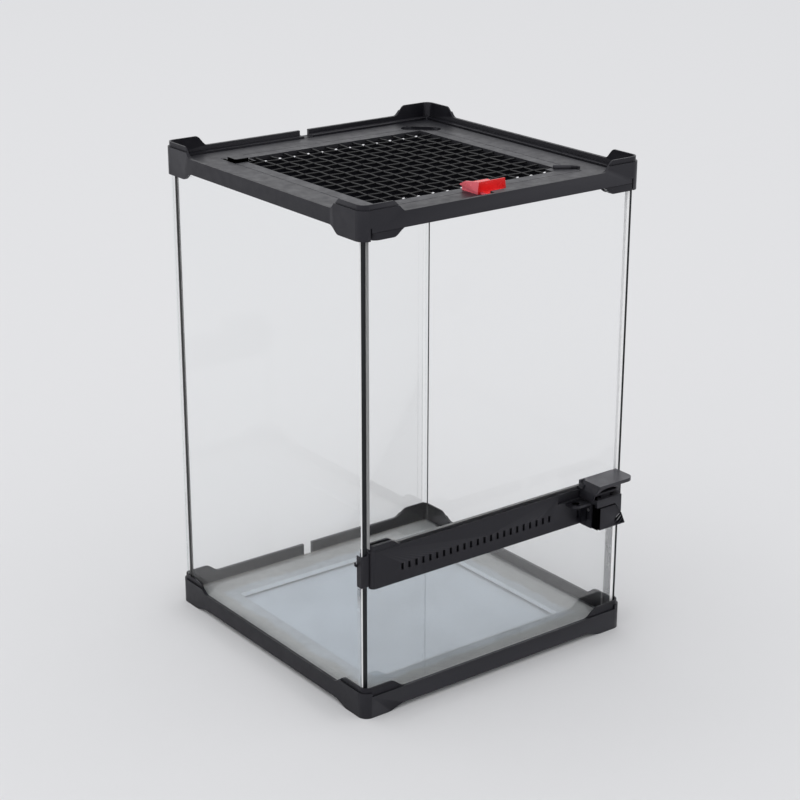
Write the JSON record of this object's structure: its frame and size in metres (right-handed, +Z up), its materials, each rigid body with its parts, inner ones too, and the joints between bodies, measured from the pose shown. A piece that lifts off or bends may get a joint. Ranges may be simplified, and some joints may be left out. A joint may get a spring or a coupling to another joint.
{
  "type": "reptile terrarium",
  "caption": "Small upright glass terrarium with black plastic frames, a hinged front glass door, a slotted vent rail with a handle and lock, and a lift-out mesh lid with a red latch.",
  "frame": {"origin": "on the ground plane under the middle of the whole object's footprint, lock included", "axes": "+Z up, the door and vent rail face -Y, the door's hinges are at -X"},
  "size_m": [0.2038, 0.2164, 0.306],
  "materials": {
    "black_plastic": "fine moulded satin",
    "glass": "clear float glass",
    "sealant": "smooth silicone",
    "red_plastic": "glossy",
    "mesh_wire": "black coated steel wire",
    "fine_screen": "fine black woven screen",
    "steel": "plain steel wire"
  },
  "bodies": {
    "tank": {"base_frame": "black_plastic", "floor_glass": "glass", "floor_seal": "sealant", "back_glass": "glass", "left_glass": "glass", "right_glass": "glass", "lower_front_glass": "glass", "seal_back_left": "sealant", "seal_back_right": "sealant", "seal_front_left": "sealant", "seal_front_right": "sealant", "top_frame": "black_plastic", "vent_rail": "black_plastic", "rail_clip_left": "black_plastic", "rail_clip_right": "black_plastic", "lock_housing": "black_plastic", "lever_pin": "steel"},
    "door": {"door_glass": "glass", "hinge_cap_top": "black_plastic", "hinge_shoe_bottom": "black_plastic", "door_corner_cap": "black_plastic", "door_handle": "black_plastic"},
    "lever": {"lock_lever": "black_plastic", "lever_spring": "steel"},
    "lid": {"lid_frame": "black_plastic", "lid_mesh": "mesh_wire", "lid_screen": "fine_screen"},
    "latch": {"lid_latch": "red_plastic"}
  },
  "joints": [
    {"name": "door_swing", "type": "hinge", "parent": "tank", "child": "door", "pos_m": [-0.0895, -0.08975, 0.2], "axis": [0, 0, -1], "range_deg": [0, 100]},
    {"name": "lever_press", "type": "hinge", "parent": "tank", "child": "lever", "pos_m": [0.0744, -0.09985, 0.092], "axis": [1, 0, 0], "range_deg": [0, 10], "stiffness_Nm_per_rad": 0.02, "springref_deg": -11.46},
    {"name": "lid_lift", "type": "slide", "parent": "tank", "child": "lid", "axis": [0, 0, 1], "range_m": [0, 0.08]},
    {"name": "latch_slide", "type": "slide", "parent": "lid", "child": "latch", "axis": [0, -1, 0], "range_m": [0, 0.005]}
  ]
}
